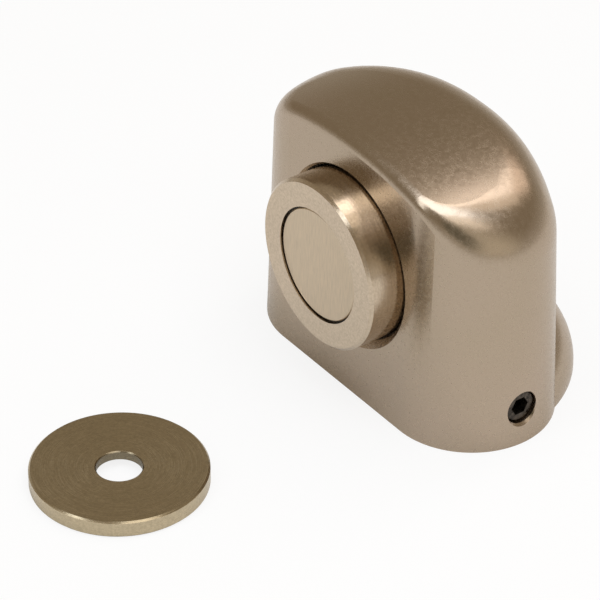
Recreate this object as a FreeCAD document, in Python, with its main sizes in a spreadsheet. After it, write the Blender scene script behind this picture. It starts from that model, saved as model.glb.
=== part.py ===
import FreeCAD, Part
import math
import os

import Sketcher
from FreeCAD import Rotation, Vector

# Floor-mounted door stop with a sprung magnet cup, and its strike plate lying on the floor in front.
# X runs across the stop, +Y away from the door and Z up. The origin is on the floor, under the stop.

SIZES = {
    # housing, outside
    "face_setback": 12.0,       # front face to the origin, at the floor
    "half_width": 31.4,         # symmetry plane to the widest point, at the floor
    "corner_radius": 14.6,      # front corners, seen from above
    "rear_reach": 20.7,         # origin to the rear wall, at the floor
    "draft_angle": 1.8,         # lean of the walls, in degrees
    "housing_height": 48.9,     # floor to the highest point
    "arch_radius": 80.0,        # top, seen from the front
    "crown_radius": 400.0,      # top, seen from the side
    "crown_place": 11.0,        # highest point, from the origin
    "front_blend": 2.0,         # edge between front face and top
    "corner_blend_first": 3.6,  # edge round the corner, a quarter of the way to the side
    "corner_blend_middle": 7.6,
    "corner_blend_last": 11.0,
    "side_blend": 12.0,         # edge between side wall and top, at the widest point
    "shoulder_blend": 10.4,     # where the side passes into the rear wall
    "rear_blend": 9.6,          # edge between rear wall and top, at its middle
    "foot_radius": 29.4,
    "foot_place": 1.2,
    "foot_height": 9.0,
    "foot_round": 8.5,
    # housing, inside
    "wall": 4.0,
    "ceiling": 40.0,            # floor to the underside of the top
    "cavity_round": 10.0,
    "foot_core": 5.0,           # height of the hollow under the foot
    "bore_wall": 2.4,           # wall of the tube that the cup runs in
    "bore_chamfer": 1.1,
    "guide_wall": 4.0,          # wall behind the bore, which holds the bush
    # sprung cup
    "magnet_height": 26.4,      # floor to the magnet's axis
    "cup_radius": 15.2,
    "cup_length": 13.4,
    "cup_projection": 5.2,      # cup's face in front of the front face's foot
    "cup_edge": 0.5,
    "cup_floor": 2.6,           # metal between the magnet and the spring
    "travel": 3.0,
    "stop_gap": 0.1,            # left between cup and buffer at the end of the travel
    "running_gap": 0.08,        # radial clearance of what slides
    "magnet_radius": 10.0,
    "magnet_thickness": 5.0,
    "magnet_recess": 0.3,
    "magnet_chamfer": 0.15,
    "spacer_thickness": 0.35,
    "spacer_recess": 0.5,       # below the magnet's face
    "spring_recess_radius": 9.0,
    "stem_radius": 4.0,
    "stem_end": 1.8,            # stem behind the clip
    "groove_depth": 0.8,
    # guide, spring and stops
    "bush_wall": 1.6,
    "flange_radius": 8.0,
    "flange_thickness": 0.8,
    "wire_radius": 0.5,
    "coil_radius": 6.2,
    "coil_turns": 4.0,
    "buffer_thickness": 1.2,
    "buffer_width": 4.6,
    "washer_thickness": 1.0,
    "washer_radius": 8.0,
    "clip_thickness": 0.8,
    "clip_radius": 6.6,
    "clip_mouth": 4.6,
    "seat_gap": 0.05,           # between faces that only touch
    # mounting base and set screw
    "base_thickness": 6.5,
    "base_gap": 0.2,            # base to the inside of the housing
    "tube_gap": 0.5,            # base to the tube of the bore
    "rim_height": 11.0,
    "rim_width": 5.4,
    "rim_mouth": 19.6,          # half width of the rim's open front
    "floor_hole_spacing": 28.0,
    "floor_hole_place": 4.0,
    "floor_hole_radius": 2.6,
    "floor_sink_radius": 5.0,
    "screw_height": 7.0,        # floor to the set screw's axis
    "screw_radius": 2.95,
    "screw_length": 5.0,
    "screw_recess": 0.9,        # screw's end below the wall
    "screw_point": 1.7,
    "screw_point_radius": 1.2,
    "socket_flats": 3.0,
    "socket_depth": 2.6,
    "thread_gap": 0.05,
    "screw_hole_chamfer": 0.35,
    # strike plate
    "strike_radius": 15.0,
    "strike_thickness": 3.1,
    "strike_edge": 0.3,
    "strike_hole_radius": 3.9,
    "strike_hole_chamfer": 0.2,
    "strike_sink_radius": 6.6,
    "strike_sink_depth": 1.5,
    "strike_distance": 45.75,   # strike's centre in front of the front face
    "strike_side": 0.7,         # strike's centre to the right of the magnet's axis
}

# Places along Y that several pieces share
CUP_FACE = "(-Sizes.face_setback - Sizes.cup_projection)"
CUP_BACK = "(%s + Sizes.cup_length)" % CUP_FACE
BUFFER_FACE = "(%s + Sizes.travel + Sizes.stop_gap)" % CUP_BACK
BORE_END = "(%s + Sizes.buffer_thickness)" % BUFFER_FACE
GUIDE_END = "(%s + Sizes.guide_wall)" % BORE_END
MAGNET_FACE = "(%s + Sizes.magnet_recess)" % CUP_FACE
MAGNET_BACK = "(%s + Sizes.magnet_thickness)" % MAGNET_FACE
SPRING_SEAT = "(%s + Sizes.cup_floor)" % MAGNET_BACK
FLANGE_FACE = "(%s - Sizes.flange_thickness)" % BORE_END
CLIP_FACE = "(%s + Sizes.washer_thickness + 2 * Sizes.seat_gap)" % GUIDE_END
CLIP_BACK = "(%s + Sizes.clip_thickness)" % CLIP_FACE
STEM_END = "(%s + Sizes.stem_end)" % CLIP_BACK
BORE_RADIUS = "(Sizes.cup_radius + Sizes.running_gap)"
POCKET_RADIUS = "(Sizes.magnet_radius + Sizes.spacer_thickness)"
BUSH_BORE = "(Sizes.stem_radius + Sizes.running_gap)"
BUSH_RADIUS = "(%s + Sizes.bush_wall)" % BUSH_BORE
GROOVE_RADIUS = "(Sizes.stem_radius - Sizes.groove_depth)"

# Centre of the plan's right corner arc, and how far the rear arc's centre lies in front of the origin
CORNER_SIDE = "(Sizes.half_width - Sizes.corner_radius)"
CORNER_AHEAD = "(Sizes.corner_radius - Sizes.face_setback)"
REAR_BEYOND = "(Sizes.rear_reach - Sizes.corner_radius)"
REAR_SINK = "((%s^2 + %s^2 - %s^2) / (2 * (%s - %s)))" % (
    CORNER_SIDE, CORNER_AHEAD, REAR_BEYOND, REAR_BEYOND, CORNER_AHEAD)

# Angles round the corner arc, from the front to the widest point, and the top blend's radius there
BLEND_STATIONS = (
    (-90.0, "Sizes.front_blend"),
    (-67.5, "Sizes.corner_blend_first"),
    (-45.0, "Sizes.corner_blend_middle"),
    (-22.5, "Sizes.corner_blend_last"),
    (0.0, "Sizes.side_blend"),
)

doc = FreeCAD.newDocument("DoorStop")
sheet = doc.addObject("Spreadsheet::Sheet", "Sizes")
for row, (alias, size) in enumerate(SIZES.items(), start=1):
    sheet.set("A%d" % row, alias)
    sheet.set("B%d" % row, str(size))
    sheet.setAlias("B%d" % row, alias)
doc.recompute()


def value(expression):
    """The number that an expression over the sheet gives."""
    result = sheet.evalExpression(expression)
    return float(getattr(result, "Value", result))


def bind(item, **expressions):
    """Binds properties of an object, with double underscores for dots, to expressions."""
    for name, expression in expressions.items():
        item.setExpression(name.replace("__", "."), expression)
    return item


def plane(body, role):
    """An origin plane of a body, such as XY_Plane."""
    return next(item for item in body.Origin.OriginFeatures if item.Role == role)


def new_body(label):
    body = doc.addObject("PartDesign::Body", label)
    body.Label = label
    return body


def new_sketch(name, body=None, role="XY_Plane"):
    """A sketch on a body's origin plane, or a free one."""
    if body is None:
        return doc.addObject("Sketcher::SketchObject", name)
    sketch = body.newObject("Sketcher::SketchObject", name)
    sketch.AttachmentSupport = [(plane(body, role), "")]
    sketch.MapMode = "FlatFace"
    return sketch


def constrain(sketch, expression, *constraint):
    """Adds a dimension and binds it."""
    index = sketch.addConstraint(Sketcher.Constraint(*constraint, value(expression)))
    sketch.setExpression("Constraints[%d]" % index, expression)


def polygon(sketch, corners):
    """A closed outline whose corners are pairs of expressions."""
    places = [Vector(value(across), value(up), 0) for across, up in corners]
    following = places[1:] + places[:1]
    for start, end in zip(places, following):
        sketch.addGeometry(Part.LineSegment(start, end), False)
    for index in range(len(corners)):
        after = (index + 1) % len(corners)
        sketch.addConstraint(Sketcher.Constraint("Coincident", index, 2, after, 1))
    for index, (across, up) in enumerate(corners):
        constrain(sketch, across, "DistanceX", -1, 1, index, 1)
        constrain(sketch, up, "DistanceY", -1, 1, index, 1)
    return sketch


def circle(sketch, radius, across="0", up="0"):
    """A circle whose centre and radius are expressions."""
    centre = Vector(value(across), value(up), 0)
    index = sketch.addGeometry(Part.Circle(centre, Vector(0, 0, 1), value(radius)), False)
    constrain(sketch, radius, "Radius", index)
    constrain(sketch, across, "DistanceX", -1, 1, index, 3)
    constrain(sketch, up, "DistanceY", -1, 1, index, 3)
    return sketch


def meeting_angle():
    """The angle at which a corner arc of the D meets the rear arc. It is the same for both arcs."""
    return math.atan2(value("%s + %s" % (CORNER_AHEAD, REAR_SINK)), value(CORNER_SIDE))


def plan(sketch, inset):
    """The D of the housing, seen from above, moved inwards by an inset.

    A straight front, two corner arcs and one rear arc, each tangent to the next.
    """
    setback = "(Sizes.face_setback - %s)" % inset
    radius = "(Sizes.corner_radius - %s)" % inset
    reach = "(Sizes.rear_reach - %s)" % inset
    corner = Vector(value(CORNER_SIDE), value(CORNER_AHEAD), 0)
    rear = Vector(0, -value(REAR_SINK), 0)
    rear_radius = value(reach) + value(REAR_SINK)
    front = Vector(corner.x, -value(setback), 0)
    turn = meeting_angle()
    up = Vector(0, 0, 1)
    right = Part.Circle(corner, up, value(radius))
    left = Part.Circle(Vector(-corner.x, corner.y, 0), up, value(radius))
    back = Part.Circle(rear, up, rear_radius)
    sketch.addGeometry([
        Part.LineSegment(Vector(-front.x, front.y, 0), front),
        Part.ArcOfCircle(right, -math.pi / 2, turn),
        Part.ArcOfCircle(back, turn, math.pi - turn),
        Part.ArcOfCircle(left, math.pi - turn, 3 * math.pi / 2),
    ], False)
    line, first, far, last = range(4)
    for joint in ((line, 2, first, 1), (first, 2, far, 1), (far, 2, last, 1), (last, 2, line, 1)):
        sketch.addConstraint(Sketcher.Constraint("Tangent", *joint))
    sketch.addConstraint(Sketcher.Constraint("Symmetric", line, 1, line, 2, -2))
    sketch.addConstraint(Sketcher.Constraint("Equal", first, last))
    constrain(sketch, radius, "Radius", first)
    constrain(sketch, CORNER_SIDE, "DistanceX", -1, 1, first, 3)
    constrain(sketch, CORNER_AHEAD, "DistanceY", -1, 1, first, 3)
    constrain(sketch, REAR_SINK, "DistanceY", far, 3, -1, 1)
    return sketch


def half_plan(sketch):
    """The right half of the D and a strip of the left, its corner arc divided where the top blend changes."""
    corner = Vector(value(CORNER_SIDE), value(CORNER_AHEAD), 0)
    rear = Vector(0, -value(REAR_SINK), 0)
    strip = value("Sizes.corner_radius")
    front = -value("Sizes.face_setback")
    up = Vector(0, 0, 1)
    bend = Part.Circle(corner, up, value("Sizes.corner_radius"))
    back = Part.Circle(rear, up, value("Sizes.rear_reach + %s" % REAR_SINK))
    joints = [math.radians(angle) for angle, _ in BLEND_STATIONS] + [meeting_angle()]
    past = math.acos(-strip / back.Radius)
    end = Vector(-strip, rear.y + back.Radius * math.sin(past), 0)
    sketch.addGeometry(Part.LineSegment(Vector(-strip, front, 0), Vector(corner.x, front, 0)), False)
    steps = [sketch.addGeometry(Part.ArcOfCircle(bend, start, stop), False)
             for start, stop in zip(joints, joints[1:])]
    far = sketch.addGeometry(Part.ArcOfCircle(back, joints[-1], past), False)
    side = sketch.addGeometry(Part.LineSegment(end, Vector(-strip, front, 0)), False)
    sketch.addConstraint(Sketcher.Constraint("Tangent", 0, 2, steps[0], 1))
    for before, after in zip(steps, steps[1:]):
        sketch.addConstraint(Sketcher.Constraint("Coincident", before, 2, after, 1))
        sketch.addConstraint(Sketcher.Constraint("Coincident", before, 3, after, 3))
    sketch.addConstraint(Sketcher.Constraint("Tangent", steps[-1], 2, far, 1))
    sketch.addConstraint(Sketcher.Constraint("Coincident", far, 2, side, 1))
    sketch.addConstraint(Sketcher.Constraint("Coincident", side, 2, 0, 1))
    sketch.addConstraint(Sketcher.Constraint("Vertical", side))
    sketch.addConstraint(Sketcher.Constraint("PointOnObject", far, 3, -2))
    sketch.addConstraint(Sketcher.Constraint("Horizontal", 0))
    constrain(sketch, "Sizes.corner_radius", "Radius", steps[0])
    constrain(sketch, "Sizes.corner_radius", "DistanceX", 0, 1, -1, 1)
    constrain(sketch, CORNER_SIDE, "DistanceX", -1, 1, steps[0], 3)
    constrain(sketch, CORNER_AHEAD, "DistanceY", -1, 1, steps[0], 3)
    constrain(sketch, REAR_SINK, "DistanceY", far, 3, -1, 1)
    for step, (angle, _) in zip(steps[1:], BLEND_STATIONS[1:]):
        rise = "(Sizes.corner_radius * sin(%s) + %s)" % (angle, CORNER_AHEAD)
        constrain(sketch, rise, "DistanceY", -1, 1, step, 1)
    return sketch


def pad(body, sketch, length, name):
    feature = body.newObject("PartDesign::Pad", name)
    feature.Profile = sketch
    return bind(feature, Length=length)


def revolve(body, sketch, name, axis="H_Axis"):
    feature = body.newObject("PartDesign::Revolution", name)
    feature.Profile = sketch
    feature.ReferenceAxis = (sketch, [axis])
    feature.Angle = 360
    return feature


def turned(label, corners):
    """A body turned about the magnet's axis: corners are (place along Y, radius)."""
    body = new_body(label)
    sketch = polygon(new_sketch(label + "_section", body, "YZ_Plane"), corners)
    revolve(body, sketch, label + "_turning")
    return bind(body, Placement__Base__z="Sizes.magnet_height")


def ring(label, face, length, inner, outer):
    """A plain ring on the magnet's axis."""
    back = "(%s + %s)" % (face, length)
    return turned(label, [(face, inner), (back, inner), (back, outer), (face, outer)])


def rod_along_y(name, start, end, radius):
    """A cylinder on the magnet's axis, between two places along Y."""
    rod = doc.addObject("Part::Cylinder", name)
    rod.Placement.Rotation = Rotation(Vector(1, 0, 0), -90)
    return bind(rod, Radius=radius, Height="%s - %s" % (end, start), Placement__Base__y=start,
                Placement__Base__z="Sizes.magnet_height")


def extrusion(name, sketch, height):
    """A free sketch drawn up from the floor with the walls' draft."""
    item = doc.addObject("Part::Extrusion", name)
    item.Base = sketch
    item.DirMode = "Custom"
    item.Dir = Vector(0, 0, 1)
    item.Solid = True
    return bind(item, LengthFwd=height, TaperAngle="-Sizes.draft_angle")


def cut(name, base, *tools):
    """The base less each tool, one after the other."""
    for index, tool in enumerate(tools, start=1):
        item = doc.addObject("Part::Cut", "%s_%d" % (name, index))
        item.Base = base
        item.Tool = tool
        base = item
    return base


def crown():
    """The space under the arched and crowned top: an arch swept about a level axis far below."""
    reach = "(2 * Sizes.half_width)"
    sketch = new_sketch("crown_section")
    sketch.Placement.Rotation = Rotation(Vector(1, 0, 0), 90)
    bind(sketch, Placement__Base__y="Sizes.crown_place")
    half = value("Sizes.half_width") * 1.2
    radius = value("Sizes.arch_radius")
    top = value("Sizes.housing_height")
    tilt = math.asin(half / radius)
    shoulder = top - radius + radius * math.cos(tilt)
    arch = Part.Circle(Vector(0, top - radius, 0), Vector(0, 0, 1), radius)
    sketch.addGeometry([
        Part.LineSegment(Vector(-half, -1, 0), Vector(half, -1, 0)),
        Part.LineSegment(Vector(half, -1, 0), Vector(half, shoulder, 0)),
        Part.ArcOfCircle(arch, math.pi / 2 - tilt, math.pi / 2 + tilt),
        Part.LineSegment(Vector(-half, shoulder, 0), Vector(-half, -1, 0)),
    ], False)
    for joint in ((0, 2, 1, 1), (1, 2, 2, 1), (2, 2, 3, 1), (3, 2, 0, 1)):
        sketch.addConstraint(Sketcher.Constraint("Coincident", *joint))
    for constraint in (("Vertical", 1), ("Vertical", 3), ("Symmetric", 0, 1, 0, 2, -2)):
        sketch.addConstraint(Sketcher.Constraint(*constraint))
    sketch.addConstraint(Sketcher.Constraint("PointOnObject", 2, 3, -2))
    sketch.addConstraint(Sketcher.Constraint("DistanceY", 0, 1, -1, 1, 1.0))
    constrain(sketch, "1.2 * Sizes.half_width", "DistanceX", -1, 1, 0, 2)
    constrain(sketch, "Sizes.arch_radius", "Radius", 2)
    constrain(sketch, "Sizes.arch_radius - Sizes.housing_height", "DistanceY", 2, 3, -1, 1)
    item = doc.addObject("Part::Revolution", "crown")
    item.Source = sketch
    item.Axis = Vector(1, 0, 0)
    item.Solid = True
    item.Symmetric = True
    bind(item, Base__y="Sizes.crown_place", Base__z="Sizes.housing_height - Sizes.crown_radius")
    return bind(item, Angle="2 * atan(%s / (Sizes.crown_radius - Sizes.housing_height))" % reach)


def foot():
    """The low round foot that shows behind the rear wall."""
    sketch = new_sketch("foot_section")
    sketch.Placement.Rotation = Rotation(Vector(1, 0, 0), 90)
    bind(sketch, Placement__Base__y="Sizes.foot_place")
    radius = value("Sizes.foot_radius")
    height = value("Sizes.foot_height")
    bend = value("Sizes.foot_round")
    corner = Part.Circle(Vector(radius - bend, height - bend, 0), Vector(0, 0, 1), bend)
    sketch.addGeometry([
        Part.LineSegment(Vector(0, 0, 0), Vector(radius, 0, 0)),
        Part.LineSegment(Vector(radius, 0, 0), Vector(radius, height - bend, 0)),
        Part.ArcOfCircle(corner, 0, math.pi / 2),
        Part.LineSegment(Vector(radius - bend, height, 0), Vector(0, height, 0)),
        Part.LineSegment(Vector(0, height, 0), Vector(0, 0, 0)),
    ], False)
    for joint in ((0, 2, 1, 1), (3, 2, 4, 1), (4, 2, 0, 1)):
        sketch.addConstraint(Sketcher.Constraint("Coincident", *joint))
    for joint in ((1, 2, 2, 1), (2, 2, 3, 1)):
        sketch.addConstraint(Sketcher.Constraint("Tangent", *joint))
    for constraint in (("Coincident", 0, 1, -1, 1), ("Horizontal", 0), ("Vertical", 1), ("Vertical", 4)):
        sketch.addConstraint(Sketcher.Constraint(*constraint))
    constrain(sketch, "Sizes.foot_radius", "DistanceX", -1, 1, 0, 2)
    constrain(sketch, "Sizes.foot_height", "DistanceY", -1, 1, 3, 2)
    constrain(sketch, "Sizes.foot_round", "Radius", 2)
    item = doc.addObject("Part::Revolution", "foot")
    item.Source = sketch
    item.Axis = Vector(0, 0, 1)
    item.Angle = 180
    item.Solid = True
    return bind(item, Base__y="Sizes.foot_place")


def top_edges(shape):
    """Indices and end points of the edges round the top of a half housing, symmetry plane apart."""
    found = []
    for index, edge in enumerate(shape.Edges, start=1):
        box = edge.BoundBox
        if box.ZMin > value("Sizes.ceiling") / 2 and box.XMax > 0.001:
            ends = [edge.valueAt(edge.FirstParameter), edge.valueAt(edge.LastParameter)]
            ends.sort(key=lambda point: -point.y)
            found.append((index, ends[0], ends[1]))
    return sorted(found, key=lambda item: item[1].y)


def blend_radius(point):
    """The top blend's radius at a joint between two edges."""
    corner = Vector(value(CORNER_SIDE), value(CORNER_AHEAD), 0)
    if point.x < corner.x - 0.001:
        return value("Sizes.front_blend" if point.y < 0 else "Sizes.rear_blend")
    angle = math.degrees(math.atan2(point.y - corner.y, point.x - corner.x))
    stations = BLEND_STATIONS + ((math.degrees(meeting_angle()), "Sizes.shoulder_blend"),)
    nearest = min(stations, key=lambda station: abs(station[0] - angle))
    return value(nearest[1])


def outer_form():
    """The closed outside of the housing.

    One half gets a blend round its top that grows from a tight front edge round the corner,
    and is then mirrored.
    """
    prism = extrusion("prism", half_plan(new_sketch("half_housing_plan")), "1.2 * Sizes.housing_height")
    half_space = doc.addObject("Part::Box", "half_space")
    bind(half_space, Length="2 * Sizes.half_width", Width="4 * Sizes.half_width",
         Height="2 * Sizes.housing_height", Placement__Base__y="-2 * Sizes.half_width",
         Placement__Base__z="-0.5 * Sizes.housing_height")
    half = doc.addObject("Part::MultiCommon", "half_form")
    half.Shapes = [prism, crown(), half_space]
    doc.recompute()
    blend = doc.addObject("Part::Fillet", "top_blend")
    blend.Base = half
    blend.Edges = [(index, blend_radius(behind), blend_radius(ahead))
                   for index, behind, ahead in top_edges(half.Shape)]
    mirror = doc.addObject("Part::Mirroring", "other_half")
    mirror.Source = blend
    mirror.Normal = Vector(1, 0, 0)
    whole = doc.addObject("Part::MultiFuse", "outer_form")
    whole.Shapes = [blend, mirror, foot()]
    whole.Refine = True
    doc.recompute()
    return whole


def cavity():
    """The hollow that is open below, with rounded upper edges, less the tube of the bore."""
    hollow = extrusion("hollow", plan(new_sketch("cavity_plan"), "Sizes.wall"), "Sizes.ceiling")
    doc.recompute()
    rounded = doc.addObject("Part::Fillet", "rounded_hollow")
    rounded.Base = hollow
    top = value("Sizes.ceiling") - 0.001
    bend = value("Sizes.cavity_round")
    rounded.Edges = [(index, bend, bend) for index, edge in enumerate(hollow.Shape.Edges, start=1)
                     if edge.BoundBox.ZMin > top]
    tube = rod_along_y("bore_tube", "-Sizes.face_setback", GUIDE_END,
                       "%s + Sizes.bore_wall" % BORE_RADIUS)
    under_foot = doc.addObject("Part::Cylinder", "under_foot")
    under_foot.Angle = 180
    bind(under_foot, Radius="Sizes.foot_radius - Sizes.wall", Height="Sizes.foot_core",
         Placement__Base__y="Sizes.foot_place")
    space = doc.addObject("Part::MultiFuse", "space")
    space.Shapes = [cut("upper_space", rounded, tube), under_foot]
    return space


def housing():
    """Cast housing: outside, hollow, bore for the cup, hole for the bush and threaded side hole."""
    bore = rod_along_y("bore", "-2 * Sizes.face_setback", BORE_END, BORE_RADIUS)
    bush_hole = rod_along_y("bush_hole", "-Sizes.face_setback", "(%s + 1)" % GUIDE_END,
                            "%s + Sizes.seat_gap" % BUSH_RADIUS)
    mouth = doc.addObject("Part::Cone", "bore_mouth")
    mouth.Placement.Rotation = Rotation(Vector(1, 0, 0), -90)
    lean = "Sizes.magnet_height * tan(Sizes.draft_angle)"
    bind(mouth, Radius1="%s + 2 * Sizes.bore_chamfer" % BORE_RADIUS, Radius2=BORE_RADIUS,
         Height="2 * Sizes.bore_chamfer", Placement__Base__z="Sizes.magnet_height",
         Placement__Base__y="-Sizes.face_setback + %s - Sizes.bore_chamfer" % lean)
    side_hole = doc.addObject("Part::Cylinder", "side_hole")
    side_hole.Placement.Rotation = Rotation(Vector(0, 1, 0), 90)
    place = "Sizes.corner_radius - Sizes.face_setback"
    bind(side_hole, Radius="Sizes.screw_radius + Sizes.thread_gap", Height="3 * Sizes.wall",
         Placement__Base__x="Sizes.half_width - 2 * Sizes.wall", Placement__Base__y=place,
         Placement__Base__z="Sizes.screw_height")
    side_mouth = doc.addObject("Part::Cone", "side_mouth")
    side_mouth.Placement.Rotation = Rotation(Vector(0, 1, 0), 90)
    surface = "(Sizes.half_width - Sizes.screw_height * tan(Sizes.draft_angle))"
    bind(side_mouth, Radius1="Sizes.screw_radius + Sizes.thread_gap",
         Radius2="Sizes.screw_radius + Sizes.thread_gap + 2 * Sizes.screw_hole_chamfer",
         Height="2 * Sizes.screw_hole_chamfer", Placement__Base__y=place,
         Placement__Base__x="%s - Sizes.screw_hole_chamfer" % surface,
         Placement__Base__z="Sizes.screw_height")
    item = cut("housing_cut", outer_form(), cavity(), bore, bush_hole, mouth, side_hole, side_mouth)
    item.Label = "housing"
    return item


def magnet_cup():
    """Turned cup with a pocket for the magnet, a recess for the spring and a grooved stem."""
    edge = "Sizes.cup_edge"
    body = turned("magnet_cup", [
        (MAGNET_BACK, "0"), (MAGNET_BACK, POCKET_RADIUS), (CUP_FACE, POCKET_RADIUS),
        (CUP_FACE, "Sizes.cup_radius - %s" % edge), ("%s + %s" % (CUP_FACE, edge), "Sizes.cup_radius"),
        ("%s - %s" % (CUP_BACK, edge), "Sizes.cup_radius"), (CUP_BACK, "Sizes.cup_radius - %s" % edge),
        (CUP_BACK, "Sizes.spring_recess_radius"), (SPRING_SEAT, "Sizes.spring_recess_radius"),
        (SPRING_SEAT, "Sizes.stem_radius"),
        ("%s - Sizes.seat_gap" % CLIP_FACE, "Sizes.stem_radius"), ("%s - Sizes.seat_gap" % CLIP_FACE, GROOVE_RADIUS),
        ("%s + Sizes.seat_gap" % CLIP_BACK, GROOVE_RADIUS), ("%s + Sizes.seat_gap" % CLIP_BACK, "Sizes.stem_radius"),
        ("%s - %s" % (STEM_END, edge), "Sizes.stem_radius"), (STEM_END, "Sizes.stem_radius - %s" % edge),
        (STEM_END, "0"),
    ])
    return body


def magnet():
    bevel = "Sizes.magnet_chamfer"
    return turned("magnet", [
        (MAGNET_FACE, "0"), (MAGNET_FACE, "Sizes.magnet_radius - %s" % bevel),
        ("%s + %s" % (MAGNET_FACE, bevel), "Sizes.magnet_radius"),
        ("%s - %s" % (MAGNET_BACK, bevel), "Sizes.magnet_radius"),
        (MAGNET_BACK, "Sizes.magnet_radius - %s" % bevel), (MAGNET_BACK, "0"),
    ])


def spacer_ring():
    """Ring between magnet and cup, a little below both."""
    face = "(%s + Sizes.spacer_recess)" % MAGNET_FACE
    return ring("spacer_ring", face, "(%s - %s)" % (MAGNET_BACK, face),
                "Sizes.magnet_radius + 0.4 * Sizes.seat_gap", "%s - 0.4 * Sizes.seat_gap" % POCKET_RADIUS)


def guide_bush():
    """Flanged bush that the stem runs in. Its flange is the spring's seat."""
    return turned("guide_bush", [
        (FLANGE_FACE, BUSH_BORE), (GUIDE_END, BUSH_BORE), (GUIDE_END, BUSH_RADIUS), (BORE_END, BUSH_RADIUS),
        (BORE_END, "Sizes.flange_radius"), (FLANGE_FACE, "Sizes.flange_radius"),
    ])


def buffer_ring():
    return ring("buffer_ring", BUFFER_FACE, "Sizes.buffer_thickness",
                "%s - Sizes.buffer_width - 2 * Sizes.seat_gap" % BORE_RADIUS,
                "%s - 2 * Sizes.seat_gap" % BORE_RADIUS)


def rebound_washer():
    return ring("rebound_washer", "(%s + Sizes.seat_gap)" % GUIDE_END, "Sizes.washer_thickness",
                "Sizes.stem_radius + 4 * Sizes.seat_gap", "Sizes.washer_radius")


def retaining_clip():
    """Clip with an open mouth, pushed on the stem's groove from the housing's open underside."""
    body = new_body("retaining_clip")
    sketch = new_sketch("clip_outline", body, "XZ_Plane")
    circle(sketch, "Sizes.clip_radius")
    circle(sketch, "%s + Sizes.seat_gap" % GROOVE_RADIUS)
    disc = pad(body, sketch, "Sizes.clip_thickness", "clip_disc")
    disc.Reversed = True
    slot = polygon(new_sketch("clip_slot", body, "XZ_Plane"), [
        ("-Sizes.clip_mouth / 2", "0"), ("Sizes.clip_mouth / 2", "0"),
        ("Sizes.clip_mouth / 2", "2 * Sizes.clip_radius"), ("-Sizes.clip_mouth / 2", "2 * Sizes.clip_radius"),
    ])
    mouth = body.newObject("PartDesign::Pocket", "clip_opening")
    mouth.Profile = slot
    mouth.Type = "ThroughAll"
    mouth.Midplane = True
    return bind(body, Placement__Base__z="Sizes.magnet_height", Placement__Base__y=CLIP_FACE)


def plunger_spring():
    """Coil spring between the cup and the bush's flange."""
    room = "(%s - %s - 2 * Sizes.seat_gap)" % (FLANGE_FACE, SPRING_SEAT)
    coil = doc.addObject("Part::Helix", "spring_path")
    bind(coil, Radius="Sizes.coil_radius", Height="%s - 2 * Sizes.wire_radius" % room,
         Pitch="(%s - 2 * Sizes.wire_radius) / Sizes.coil_turns" % room)
    coil.SegmentLength = 1
    doc.recompute()
    wire = doc.addObject("Part::Circle", "spring_wire")
    wire.Placement.Rotation = Rotation(Vector(1, 0, 0), 90)
    bind(wire, Radius="Sizes.wire_radius", Placement__Base__x="Sizes.coil_radius")
    spring = doc.addObject("Part::Sweep", "plunger_spring")
    spring.Sections = [wire]
    spring.Spine = (coil, ["Edge%d" % number for number in range(1, len(coil.Shape.Edges) + 1)])
    spring.Solid = True
    spring.Frenet = True
    spring.Label = "plunger_spring"
    spring.Placement.Rotation = Rotation(Vector(1, 0, 0), -90)
    bind(spring, Placement__Base__z="Sizes.magnet_height",
         Placement__Base__y="%s + Sizes.seat_gap + Sizes.wire_radius" % SPRING_SEAT)
    return spring


def mounting_base():
    """Plate that is screwed to the floor, with a rim that the set screw bears on."""
    body = new_body("mounting_base")
    inset = "(Sizes.wall + Sizes.base_gap)"
    plate = plan(new_sketch("plate_plan", body), inset)
    rim_inset = "(%s + Sizes.rim_width)" % inset
    pad(body, plate, "Sizes.rim_height", "base_block").setExpression("TaperAngle", "-Sizes.draft_angle")
    inner = plan(new_sketch("rim_plan", body), rim_inset)
    bind(inner, AttachmentOffset__Base__z="Sizes.base_thickness")
    well = body.newObject("PartDesign::Pocket", "base_well")
    well.Profile = inner
    well.Reversed = True
    bind(well, Length="Sizes.rim_height")
    mouth_plan = polygon(new_sketch("mouth_plan", body), [
        ("-Sizes.rim_mouth", "-2 * Sizes.face_setback"), ("Sizes.rim_mouth", "-2 * Sizes.face_setback"),
        ("Sizes.rim_mouth", "Sizes.corner_radius - Sizes.face_setback"),
        ("-Sizes.rim_mouth", "Sizes.corner_radius - Sizes.face_setback"),
    ])
    bind(mouth_plan, AttachmentOffset__Base__z="Sizes.base_thickness")
    mouth = body.newObject("PartDesign::Pocket", "rim_opening")
    mouth.Profile = mouth_plan
    mouth.Reversed = True
    bind(mouth, Length="Sizes.rim_height")
    return body


def base_with_holes():
    """The base with two countersunk floor holes and the seat of the set screw."""
    body = mounting_base()
    holes = new_sketch("floor_holes", body)
    for side in ("-Sizes.floor_hole_spacing / 2", "Sizes.floor_hole_spacing / 2"):
        circle(holes, "Sizes.floor_hole_radius", side, "Sizes.floor_hole_place")
    through = body.newObject("PartDesign::Pocket", "floor_hole_drilling")
    through.Profile = holes
    through.Type = "ThroughAll"
    through.Midplane = True
    body.Label = "base_blank"
    tools = []
    for side, name in (("-", "left"), ("", "right")):
        sink = doc.addObject("Part::Cone", name + "_sink")
        depth = "(Sizes.floor_sink_radius - Sizes.floor_hole_radius)"
        bind(sink, Radius1="Sizes.floor_hole_radius", Radius2="Sizes.floor_sink_radius + 0.5", Height="%s + 0.5" % depth,
             Placement__Base__x="%sSizes.floor_hole_spacing / 2" % side,
             Placement__Base__y="Sizes.floor_hole_place", Placement__Base__z="Sizes.base_thickness - %s" % depth)
        tools.append(sink)
    return cut("mounting_base", body, *tools)


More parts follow.
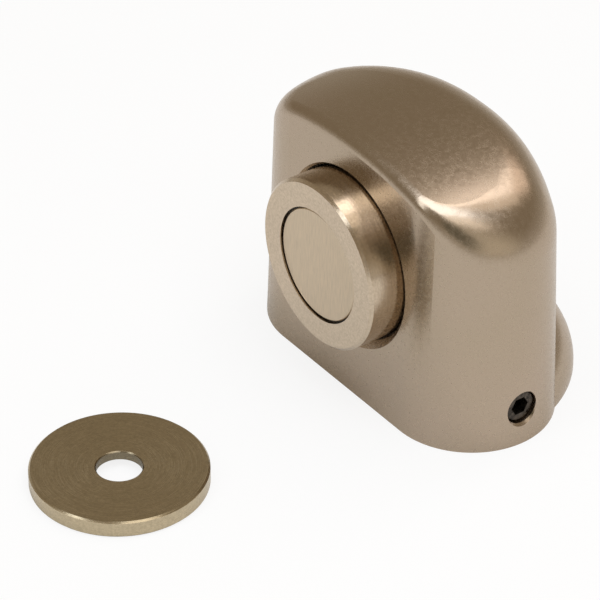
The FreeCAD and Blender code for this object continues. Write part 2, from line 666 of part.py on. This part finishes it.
def set_screw():
    """Socket set screw with a cone point, along X."""
    body = new_body("set_screw")
    end = "Sizes.screw_length"
    sketch = polygon(new_sketch("screw_section", body, "XY_Plane"), [
        ("0", "0"), ("0", "Sizes.screw_point_radius"), ("Sizes.screw_point", "Sizes.screw_radius"),
        ("%s - 0.3" % end, "Sizes.screw_radius"), (end, "Sizes.screw_radius - 0.3"), (end, "0"),
    ])
    revolve(body, sketch, "screw_turning")
    socket = new_sketch("socket_outline", body, "YZ_Plane")
    bind(socket, AttachmentOffset__Base__z=end)
    across = "(Sizes.socket_flats / sqrt(3))"
    polygon(socket, [("%s * cos(%d)" % (across, 60 * side), "%s * sin(%d)" % (across, 60 * side))
                     for side in range(6)])
    hollow = body.newObject("PartDesign::Pocket", "socket")
    hollow.Profile = socket
    bind(hollow, Length="Sizes.socket_depth")
    surface = "(Sizes.half_width - Sizes.screw_height * tan(Sizes.draft_angle))"
    return bind(body, Placement__Base__x="%s - Sizes.screw_recess - %s" % (surface, end),
                Placement__Base__y="Sizes.corner_radius - Sizes.face_setback",
                Placement__Base__z="Sizes.screw_height")


def strike_plate():
    """Steel disc for the door, lying face down: its countersink is underneath."""
    body = new_body("strike_plate")
    edge = "Sizes.strike_edge"
    hole = "Sizes.strike_hole_radius"
    bevel = "Sizes.strike_hole_chamfer"
    top = "Sizes.strike_thickness"
    sketch = polygon(new_sketch("strike_section", body, "XZ_Plane"), [
        ("Sizes.strike_sink_radius", "0"), ("Sizes.strike_radius - %s" % edge, "0"),
        ("Sizes.strike_radius", edge), ("Sizes.strike_radius", "%s - %s" % (top, edge)),
        ("Sizes.strike_radius - %s" % edge, top), ("%s + %s" % (hole, bevel), top),
        (hole, "%s - %s" % (top, bevel)), (hole, "Sizes.strike_sink_depth"),
    ])
    revolve(body, sketch, "strike_turning", "V_Axis")
    return bind(body, Placement__Base__x="Sizes.strike_side",
                Placement__Base__y="-Sizes.face_setback - Sizes.strike_distance")


def screw_seat():
    """Cone that the set screw's point bears in, cut in the base's rim."""
    seat = doc.addObject("Part::Cone", "screw_seat")
    seat.Placement.Rotation = Rotation(Vector(0, 1, 0), 90)
    surface = "(Sizes.half_width - Sizes.screw_height * tan(Sizes.draft_angle))"
    slope = "((Sizes.screw_radius - Sizes.screw_point_radius) / Sizes.screw_point)"
    reach = "(1.5 * Sizes.screw_point)"
    bind(seat, Radius1="Sizes.screw_point_radius + Sizes.seat_gap",
         Radius2="Sizes.screw_point_radius + Sizes.seat_gap + %s * %s" % (reach, slope), Height=reach,
         Placement__Base__x="%s - Sizes.screw_recess - Sizes.screw_length - Sizes.seat_gap" % surface,
         Placement__Base__y="Sizes.corner_radius - Sizes.face_setback", Placement__Base__z="Sizes.screw_height")
    return seat


def finished_base():
    """The base with its screw seat, kept clear of the tube however low the magnet sits."""
    tube_room = rod_along_y("tube_room", "-Sizes.face_setback", "(%s + Sizes.tube_gap)" % GUIDE_END,
                            "%s + Sizes.bore_wall + Sizes.tube_gap" % BORE_RADIUS)
    item = cut("finished_base", base_with_holes(), screw_seat(), tube_room)
    item.Label = "mounting_base"
    return item


pieces = [
    housing(), finished_base(), set_screw(), magnet_cup(), magnet(), spacer_ring(), guide_bush(),
    plunger_spring(), buffer_ring(), rebound_washer(), retaining_clip(), strike_plate(),
]
doc.recompute()

for item in doc.Objects:
    if "Invalid" in item.State or "Error" in item.State:
        raise RuntimeError("%s failed: %s" % (item.Name, item.State))
for piece in pieces:
    if piece.Shape.isNull() or not piece.Shape.isValid() or len(piece.Shape.Solids) != 1:
        raise RuntimeError("%s isn't one valid solid" % piece.Label)

os.makedirs("parts", exist_ok=True)
for piece in pieces:
    piece.Shape.exportStep(os.path.join("parts", piece.Label + ".step"))
    print("%-16s %9.1f mm3" % (piece.Label, piece.Shape.Volume))
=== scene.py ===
"""Looks of the magnetic door stop and its strike plate: metals, plastics, floor, light and camera."""

import math

import bpy
from mathutils import Matrix, Vector

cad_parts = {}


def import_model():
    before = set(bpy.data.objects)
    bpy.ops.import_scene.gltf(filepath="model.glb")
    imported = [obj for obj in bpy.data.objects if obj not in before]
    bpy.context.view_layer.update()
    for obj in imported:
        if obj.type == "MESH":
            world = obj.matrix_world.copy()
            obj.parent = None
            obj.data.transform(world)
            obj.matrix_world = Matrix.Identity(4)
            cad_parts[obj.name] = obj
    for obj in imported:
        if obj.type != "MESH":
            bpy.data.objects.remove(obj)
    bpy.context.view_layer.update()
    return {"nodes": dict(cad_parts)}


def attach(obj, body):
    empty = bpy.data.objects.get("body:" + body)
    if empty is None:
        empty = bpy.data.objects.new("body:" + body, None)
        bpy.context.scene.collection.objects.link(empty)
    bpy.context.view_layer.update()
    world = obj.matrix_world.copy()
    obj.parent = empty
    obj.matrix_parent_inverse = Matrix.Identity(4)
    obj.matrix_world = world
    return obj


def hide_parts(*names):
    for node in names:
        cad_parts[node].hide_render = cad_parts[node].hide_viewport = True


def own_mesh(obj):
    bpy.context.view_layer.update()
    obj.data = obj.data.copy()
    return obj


MM = 0.001
Y_AXIS, Z_AXIS = 1, 2

# Camera, as the photograph was taken: a long lens from the front right and above
LOOK_AT = Vector((-23.77, -3.26, 0)) * MM
CAMERA_AZIMUTH = math.radians(53.895)
CAMERA_ELEVATION = math.radians(35.234)
CAMERA_ROLL = math.radians(0.207)
CAMERA_DISTANCE = 701.75 * MM
LENS = 240.0
SENSOR_WIDTH = 36.0
NEAREST, FURTHEST = 0.01, 20.0

# Points on the axes of the turned pieces: the magnet's runs along y and the strike plate's along z
MAGNET_AXIS = Vector((0, 0, 26.4)) * MM
STRIKE_CENTRE = Vector((0.7, -57.75, 0)) * MM

# Colours of the pieces. A pair is the darker and the lighter one that a finish goes between
NICKEL_OLIVE, NICKEL_WARM = (0.41, 0.34, 0.25), (0.45, 0.36, 0.285)
TURNED_NICKEL = (0.55, 0.455, 0.345)
MAGNET_NICKEL = (0.56, 0.465, 0.345)
STRIKE_NICKEL = (0.43, 0.36, 0.245)
ZINC_DARK, ZINC_LIGHT = (0.47, 0.48, 0.5), (0.53, 0.54, 0.56)
CLIP_DARK, CLIP_LIGHT = (0.26, 0.26, 0.26), (0.3, 0.3, 0.3)
OXIDE_DARK, OXIDE_WORN = (0.02, 0.016, 0.013), (0.11, 0.092, 0.075)
SPRING_STEEL = (0.4, 0.39, 0.37)
BROWN_PLASTIC = (0.03, 0.024, 0.018)
WHITE_PLASTIC = (0.72, 0.72, 0.68)
BUFFER_RUBBER = (0.025, 0.025, 0.025)
WASHER_RUBBER = (0.03, 0.03, 0.03)

# Painted light and shade by radius round an axis: from one radius in mm to another, and the shades inside and
# outside. The cup's bore and the strike plate's hole get painted shade, and the strike plate's edge gets
# painted light. The depth is how far along the axis the painted shade reaches
CUP_BORE_PAINTED_SHADE = (15.56, 15.66, 0.12, 1.0)
STRIKE_HOLE_PAINTED_SHADE = (3.95, 4.1, 0.5, 1.0)
STRIKE_EDGE_PAINTED_LIGHT = (14.7, 14.95, 1.0, 1.15)
CUP_BORE_DEPTH = 10.0 * MM

# Noise: scales per metre, heights in metres. Nearly all of its values lie between NOISE_LOW and NOISE_HIGH
NOISE_LOW, NOISE_HIGH = 0.3, 0.7
CLOUD_SCALE = 60.0
STEEL_GRAIN = 4500.0
NICKEL_GRAIN = 1200.0
TURNED_GRAIN = 2400.0
MOULDED_GRAIN = 1500.0
OXIDE_GRAIN = 1600.0
RING_SCALE = 7000.0
RING_DRIFT = 0.0004
MAGNET_STROKES = (5000.0, 300.0, 350.0)
METAL_HEIGHT = 0.00001
MOULDED_HEIGHT = 0.00002
OXIDE_HEIGHT = 0.00004

# Floor and surroundings. A direction is met where its cosine is between the two of its edge
FLOOR_WHITE = (0.87, 0.87, 0.86)
FLOOR_REACH = 6.0
FLOOR_GLOW_TO_CAMERA = 0.84
FLOOR_GLOW_TO_METAL = 0.1
BACKDROP_WHITE = (1.0, 1.0, 1.0)
DIM_ROOM = (0.36, 0.3, 0.22)
HORIZON = (0.6, 0.55, 0.48)
HORIZON_RISE = 0.3
PALE_WALL = (0.85, 0.78, 0.65)
TOWARDS_WALL = (0.985, -0.17, 0.0)
WALL_EDGE = (0.72, 0.92)
DARK_CLOTHES = (0.18, 0.165, 0.12)
TOWARDS_PHOTOGRAPHER = (0.81, -0.48, 0.34)
PHOTOGRAPHER_EDGE = (0.94, 0.975)
LAMP_HEIGHT = 0.62


# Nodes

def node(tree, kind, inputs=None, **settings):
    """Adds a node. Inputs are values, colours or sockets by name or number."""
    made = tree.nodes.new(kind)
    for name, setting in settings.items():
        setattr(made, name, setting)
    for name, source in (inputs or {}).items():
        socket = made.inputs[name]
        if isinstance(source, bpy.types.NodeSocket):
            tree.links.new(source, socket)
        elif isinstance(source, tuple) and len(source) == 3 and socket.type == "RGBA":
            socket.default_value = (*source, 1.0)
        else:
            socket.default_value = source
    return made


def maths(tree, operation, first, second):
    return node(tree, "ShaderNodeMath", {0: first, 1: second}, operation=operation).outputs[0]


def vector_maths(tree, operation, first, second):
    return node(tree, "ShaderNodeVectorMath", {0: first, 1: second}, operation=operation).outputs[0]


def ramp(tree, value, low, high, at_low=0.0, at_high=1.0):
    """A value's way from low to high as a way from at_low to at_high, and level beyond."""
    inputs = {"Value": value, "From Min": low, "From Max": high, "To Min": at_low, "To Max": at_high}
    return node(tree, "ShaderNodeMapRange", inputs).outputs[0]


def mixed(tree, factor, first, second, **settings):
    """Two colours mixed by a factor."""
    inputs = {"Factor": factor, "A": first, "B": second}
    return node(tree, "ShaderNodeMix", inputs, data_type="RGBA", **settings).outputs["Result"]


def multiplied(tree, colour, factor):
    """A colour socket times a value socket."""
    return mixed(tree, 1.0, colour, factor, blend_type="MULTIPLY")


def place(tree, origin=(0, 0, 0), scale=(1, 1, 1)):
    """Object coordinates in metres, moved to an origin and then scaled."""
    coordinates = node(tree, "ShaderNodeTexCoord").outputs["Object"]
    moved = vector_maths(tree, "SUBTRACT", coordinates, tuple(origin))
    return vector_maths(tree, "MULTIPLY", moved, tuple(scale))


def cylinder_coordinates(tree, origin, axis):
    """Angle, radius and distance along an axis, as sockets."""
    parts = node(tree, "ShaderNodeSeparateXYZ", {0: place(tree, origin)}).outputs
    along = parts[axis]
    across, up = [parts[other] for other in range(3) if other != axis]
    angle = maths(tree, "ARCTAN2", up, across)
    flat = node(tree, "ShaderNodeCombineXYZ", {0: across, 1: up}).outputs[0]
    radius = node(tree, "ShaderNodeVectorMath", {0: flat}, operation="LENGTH").outputs["Value"]
    return angle, radius, along


def noise(tree, vector, scale, detail=2.0, roughness=0.5):
    inputs = {"Vector": vector, "Scale": scale, "Detail": detail, "Roughness": roughness}
    return node(tree, "ShaderNodeTexNoise", inputs).outputs["Fac"]


def spread(tree, noise_value, low, high):
    """A noise spread over another range."""
    return ramp(tree, noise_value, NOISE_LOW, NOISE_HIGH, low, high)


def bump(tree, height, strength, distance, under=None):
    """A normal from a height, on top of the normal under it."""
    inputs = {"Height": height, "Strength": strength, "Distance": distance}
    if under is not None:
        inputs["Normal"] = under
    return node(tree, "ShaderNodeBump", inputs).outputs["Normal"]


def shade(colour, factor):
    return tuple(channel * factor for channel in colour)


# Finishes, with painted light and shade on the housing and the strike plate

def new_material(name, **sockets):
    """A material with its shader's uniform values set. Returns material, tree and shader."""
    material = bpy.data.materials.new(name)
    material.use_nodes = True
    tree = material.node_tree
    shader = tree.nodes["Principled BSDF"]
    for socket, setting in sockets.items():
        target = shader.inputs[socket.replace("_", " ")]
        target.default_value = (*setting, 1.0) if isinstance(setting, tuple) else setting
    return material, tree, shader


def grained_metal(name, dark, light, roughness, grain=STEEL_GRAIN, relief=0.4):
    """Plated metal: an even fine grain, and faint clouds between two colours."""
    material, tree, shader = new_material(name, Metallic=1.0)
    spot = place(tree)
    clouds = noise(tree, spot, CLOUD_SCALE, 3.0)
    fine = noise(tree, spot, grain, 3.0, 0.6)
    tree.links.new(mixed(tree, clouds, dark, light), shader.inputs["Base Color"])
    tree.links.new(spread(tree, fine, roughness - 0.05, roughness + 0.05), shader.inputs["Roughness"])
    if relief:
        tree.links.new(bump(tree, fine, relief, METAL_HEIGHT), shader.inputs["Normal"])
    return material


def turned_metal(name, colour, roughness, origin, axis, streak=0.8):
    """Metal off a lathe: fine rings round an axis, and reflections streaked along them."""
    material, tree, shader = new_material(name, Metallic=1.0, Anisotropic=streak)
    along_rings = node(tree, "ShaderNodeTangent", direction_type="RADIAL", axis="XYZ"[axis]).outputs[0]
    tree.links.new(along_rings, shader.inputs["Tangent"])
    angle, radius, along = cylinder_coordinates(tree, origin, axis)
    drift = maths(tree, "MULTIPLY", angle, RING_DRIFT)
    spot = node(tree, "ShaderNodeCombineXYZ", {0: drift, 1: radius, 2: along}).outputs[0]
    rings = noise(tree, spot, RING_SCALE, 2.0, 0.6)
    fine = noise(tree, place(tree), TURNED_GRAIN)
    ringed_colour = mixed(tree, rings, shade(colour, 0.86), shade(colour, 1.12))
    tree.links.new(multiplied(tree, ringed_colour, spread(tree, fine, 0.9, 1.1)), shader.inputs["Base Color"])
    tree.links.new(spread(tree, rings, roughness - 0.05, roughness + 0.07), shader.inputs["Roughness"])
    ringed = bump(tree, rings, 0.5, METAL_HEIGHT)
    tree.links.new(bump(tree, fine, 0.3, METAL_HEIGHT, ringed), shader.inputs["Normal"])
    return material


def brushed_metal(name, colour, roughness, scale):
    """Metal brushed one way. Scale is the noise's along each axis, low along the strokes."""
    material, tree, shader = new_material(name, Metallic=1.0)
    strokes = noise(tree, place(tree, scale=scale), 1.0, 2.0, 0.6)
    tree.links.new(mixed(tree, strokes, shade(colour, 0.7), shade(colour, 1.3)), shader.inputs["Base Color"])
    tree.links.new(spread(tree, strokes, roughness - 0.05, roughness + 0.08), shader.inputs["Roughness"])
    tree.links.new(bump(tree, strokes, 0.5, METAL_HEIGHT), shader.inputs["Normal"])
    return material


def moulded(name, colour, roughness):
    """Plastic or rubber with a fine moulded grain."""
    material, tree, shader = new_material(name)
    fine = noise(tree, place(tree), MOULDED_GRAIN, 3.0)
    tree.links.new(mixed(tree, fine, shade(colour, 0.9), shade(colour, 1.1)), shader.inputs["Base Color"])
    tree.links.new(spread(tree, fine, roughness - 0.06, roughness + 0.06), shader.inputs["Roughness"])
    tree.links.new(bump(tree, fine, 0.3, MOULDED_HEIGHT), shader.inputs["Normal"])
    return material


def blackened_steel(name):
    """Black oxide on steel: nearly black, and paler and rougher in small worn spots."""
    material, tree, shader = new_material(name, Metallic=0.9)
    clouds = noise(tree, place(tree), OXIDE_GRAIN, 3.0)
    worn = spread(tree, clouds, 0.0, 1.0)
    tree.links.new(mixed(tree, worn, OXIDE_DARK, OXIDE_WORN), shader.inputs["Base Color"])
    tree.links.new(spread(tree, clouds, 0.2, 0.4), shader.inputs["Roughness"])
    tree.links.new(bump(tree, clouds, 0.4, OXIDE_HEIGHT), shader.inputs["Normal"])
    return material


def paint_light_and_shade_by_radius(material, origin, axis, start, end, inside, outside, depth=CUP_BORE_DEPTH):
    """Painted light and shade: the metal's colour times one factor inside one radius round an axis and
    another outside another, down to a depth along it.
    """
    tree = material.node_tree
    radius, along = cylinder_coordinates(tree, origin, axis)[1:]
    by_radius = ramp(tree, radius, start * MM, end * MM, inside, outside)
    beyond = maths(tree, "GREATER_THAN", along, depth)
    colour = tree.nodes["Principled BSDF"].inputs["Base Color"]
    plain = colour.links[0].from_socket
    tree.links.new(multiplied(tree, plain, maths(tree, "MAXIMUM", by_radius, beyond)), colour)


def housing_metal_and_painted_shade():
    """Satin nickel, with painted shade in the cup's bore."""
    material = grained_metal("satin_nickel", NICKEL_OLIVE, NICKEL_WARM, 0.25, NICKEL_GRAIN, relief=0.0)
    # Painted shade in the cup's bore, dark from the chamfer inwards
    paint_light_and_shade_by_radius(material, MAGNET_AXIS, Y_AXIS, *CUP_BORE_PAINTED_SHADE)
    return material


def strike_metal_painted_light_and_shade():
    """Turned nickel, with painted shade in the hole and painted light a little brighter round the edge."""
    material = turned_metal("strike_nickel", STRIKE_NICKEL, 0.23, STRIKE_CENTRE, Z_AXIS, 0.3)
    # Painted shade on the wall of the hole, half as bright
    paint_light_and_shade_by_radius(material, STRIKE_CENTRE, Z_AXIS, *STRIKE_HOLE_PAINTED_SHADE)
    # Painted light round the edge, 15 percent brighter than the top
    paint_light_and_shade_by_radius(material, STRIKE_CENTRE, Z_AXIS, *STRIKE_EDGE_PAINTED_LIGHT)
    return material


def dress(nodes):
    """Gives each CAD node its material."""
    materials = {
        "housing": housing_metal_and_painted_shade(),
        "magnet_cup": turned_metal("turned_nickel", TURNED_NICKEL, 0.18, MAGNET_AXIS, Y_AXIS, 0.3),
        "magnet": brushed_metal("magnet_nickel", MAGNET_NICKEL, 0.36, MAGNET_STROKES),
        "spacer_ring": moulded("dark_plastic", BROWN_PLASTIC, 0.6),
        "set_screw": blackened_steel("black_steel"),
        "strike_plate": strike_metal_painted_light_and_shade(),
        "mounting_base": grained_metal("zinc_plated_steel", ZINC_DARK, ZINC_LIGHT, 0.38),
        "plunger_spring": turned_metal("spring_steel", SPRING_STEEL, 0.3, MAGNET_AXIS, Y_AXIS),
        "retaining_clip": grained_metal("clip_steel", CLIP_DARK, CLIP_LIGHT, 0.35),
        "guide_bush": moulded("white_plastic", WHITE_PLASTIC, 0.45),
        "buffer_ring": moulded("buffer_rubber", BUFFER_RUBBER, 0.7),
        "rebound_washer": moulded("washer_rubber", WASHER_RUBBER, 0.7),
    }
    for name, material in materials.items():
        mesh = nodes[name].data
        mesh.materials.clear()
        mesh.materials.append(material)


# Scene

def add_squashing_spring(spring_node):
    """A copy of the CAD spring, with a mesh of its own, on the stop's body in place of the hidden CAD spring.
    """
    spring = bpy.data.objects.new("squashing_spring", spring_node.data.copy())
    bpy.context.scene.collection.objects.link(spring)
    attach(spring, "stop")
    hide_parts("plunger_spring")
    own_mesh(spring)


def add_camera():
    """A camera on the photograph's line of sight. The image's up is the world's, rolled a little."""
    level = Vector((math.sin(CAMERA_AZIMUTH), -math.cos(CAMERA_AZIMUTH), 0))
    back = level * math.cos(CAMERA_ELEVATION) + Vector((0, 0, math.sin(CAMERA_ELEVATION)))
    right = Vector((0, 0, 1)).cross(back).normalized()
    up = back.cross(right)
    turn = Matrix((right, up, back)).transposed() @ Matrix.Rotation(CAMERA_ROLL, 3, "Z")
    data = bpy.data.cameras.new("camera")
    data.lens = LENS
    data.sensor_width = SENSOR_WIDTH
    data.clip_start = NEAREST
    data.clip_end = FURTHEST
    camera = bpy.data.objects.new("camera", data)
    camera.matrix_world = Matrix.Translation(LOOK_AT + back * CAMERA_DISTANCE) @ turn.to_4x4()
    bpy.context.scene.collection.objects.link(camera)
    bpy.context.scene.camera = camera


def floor_material():
    """White that takes the object's shadow, and is partly plain white to the camera and to metal."""
    material, tree, shader = new_material("floor_white", Base_Color=FLOOR_WHITE, Roughness=0.9)
    ray = node(tree, "ShaderNodeLightPath").outputs
    mirrored = maths(tree, "MAXIMUM", ray["Is Glossy Ray"], ray["Is Transmission Ray"])
    to_camera = maths(tree, "MULTIPLY", ray["Is Camera Ray"], FLOOR_GLOW_TO_CAMERA)
    to_metal = maths(tree, "MULTIPLY", mirrored, FLOOR_GLOW_TO_METAL)
    share = maths(tree, "MAXIMUM", to_camera, to_metal)
    glow = node(tree, "ShaderNodeEmission", {"Color": BACKDROP_WHITE, "Strength": 1.0}).outputs[0]
    surface = node(tree, "ShaderNodeMixShader", {0: share, 1: shader.outputs[0], 2: glow}).outputs[0]
    tree.links.new(surface, tree.nodes["Material Output"].inputs["Surface"])
    return material


def add_floor():
    mesh = bpy.data.meshes.new("floor")
    corners_around = [(-1, -1), (1, -1), (1, 1), (-1, 1)]
    mesh.from_pydata([(x * FLOOR_REACH, y * FLOOR_REACH, 0) for x, y in corners_around], [], [(0, 1, 2, 3)])
    floor = bpy.data.objects.new("floor", mesh)
    bpy.context.scene.collection.objects.link(floor)
    mesh.materials.append(floor_material())


def towards(tree, direction, target, edge):
    """1 where a direction is near a target direction, and 0 away from it."""
    cosine = node(tree, "ShaderNodeVectorMath", {0: direction, 1: target}, operation="DOT_PRODUCT")
    return ramp(tree, cosine.outputs["Value"], *edge)


def room_colour(tree):
    """A dim warm room with a pale horizon, a pale wall on the right and a photographer in dark clothes."""
    direction = node(tree, "ShaderNodeTexCoord").outputs["Generated"]
    height = node(tree, "ShaderNodeSeparateXYZ", {0: direction}).outputs[2]
    room = mixed(tree, ramp(tree, height, 0.0, HORIZON_RISE), HORIZON, DIM_ROOM)
    room = mixed(tree, towards(tree, direction, TOWARDS_WALL, WALL_EDGE), room, PALE_WALL)
    return mixed(tree, towards(tree, direction, TOWARDS_PHOTOGRAPHER, PHOTOGRAPHER_EDGE), room, DARK_CLOTHES)


def set_world():
    """Metal mirrors the room. The camera sees white."""
    world = bpy.data.worlds.new("studio")
    bpy.context.scene.world = world
    world.use_nodes = True
    tree = world.node_tree
    tree.nodes.clear()
    to_camera = node(tree, "ShaderNodeLightPath").outputs["Is Camera Ray"]
    colour = mixed(tree, to_camera, room_colour(tree), BACKDROP_WHITE)
    background = node(tree, "ShaderNodeBackground", {"Color": colour, "Strength": 1.0})
    output = node(tree, "ShaderNodeOutputWorld")
    tree.links.new(background.outputs[0], output.inputs["Surface"])


def add_soft_box(name, left, right, near, far, brightness, colour):
    """A level lamp overhead between two x and two y. Brightness is what a mirror would show."""
    width = right - left
    depth = far - near
    data = bpy.data.lights.new(name, "AREA")
    data.shape = "RECTANGLE"
    data.size = width
    data.size_y = depth
    data.energy = math.pi * width * depth * brightness
    data.color = colour
    lamp = bpy.data.objects.new(name, data)
    lamp.location = ((left + right) / 2, (near + far) / 2, LAMP_HEIGHT)
    bpy.context.scene.collection.objects.link(lamp)


def add_lights():
    """Soft boxes overhead: a cool one that reaches forward, a dimmer one beside it and warm ones behind."""
    add_soft_box("main_box", -0.16, 0.4, -0.3, 0.17, 3.1, (0.84, 0.9, 1.0))
    add_soft_box("front_box", -0.18, 0.06, -1.1, -0.3, 2.4, (0.86, 0.92, 1.0))
    add_soft_box("right_box", 0.4, 0.72, -0.3, 0.15, 1.4, (1.0, 0.97, 0.93))
    add_soft_box("warm_box", -0.18, 0.035, 0.17, 0.58, 2.2, (1.0, 0.94, 0.92))
    add_soft_box("rear_box", 0.035, 0.25, 0.17, 0.7, 0.85, (1.0, 0.9, 0.8))
    add_soft_box("far_box", -0.24, 0.05, 0.58, 1.4, 1.3, (1.0, 0.84, 0.76))


def main():
    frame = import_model()
    nodes = frame["nodes"]
    dress(nodes)
    add_squashing_spring(nodes["plunger_spring"])
    add_floor()
    set_world()
    add_lights()
    add_camera()
    bpy.context.scene.view_settings.view_transform = "Standard"


main()
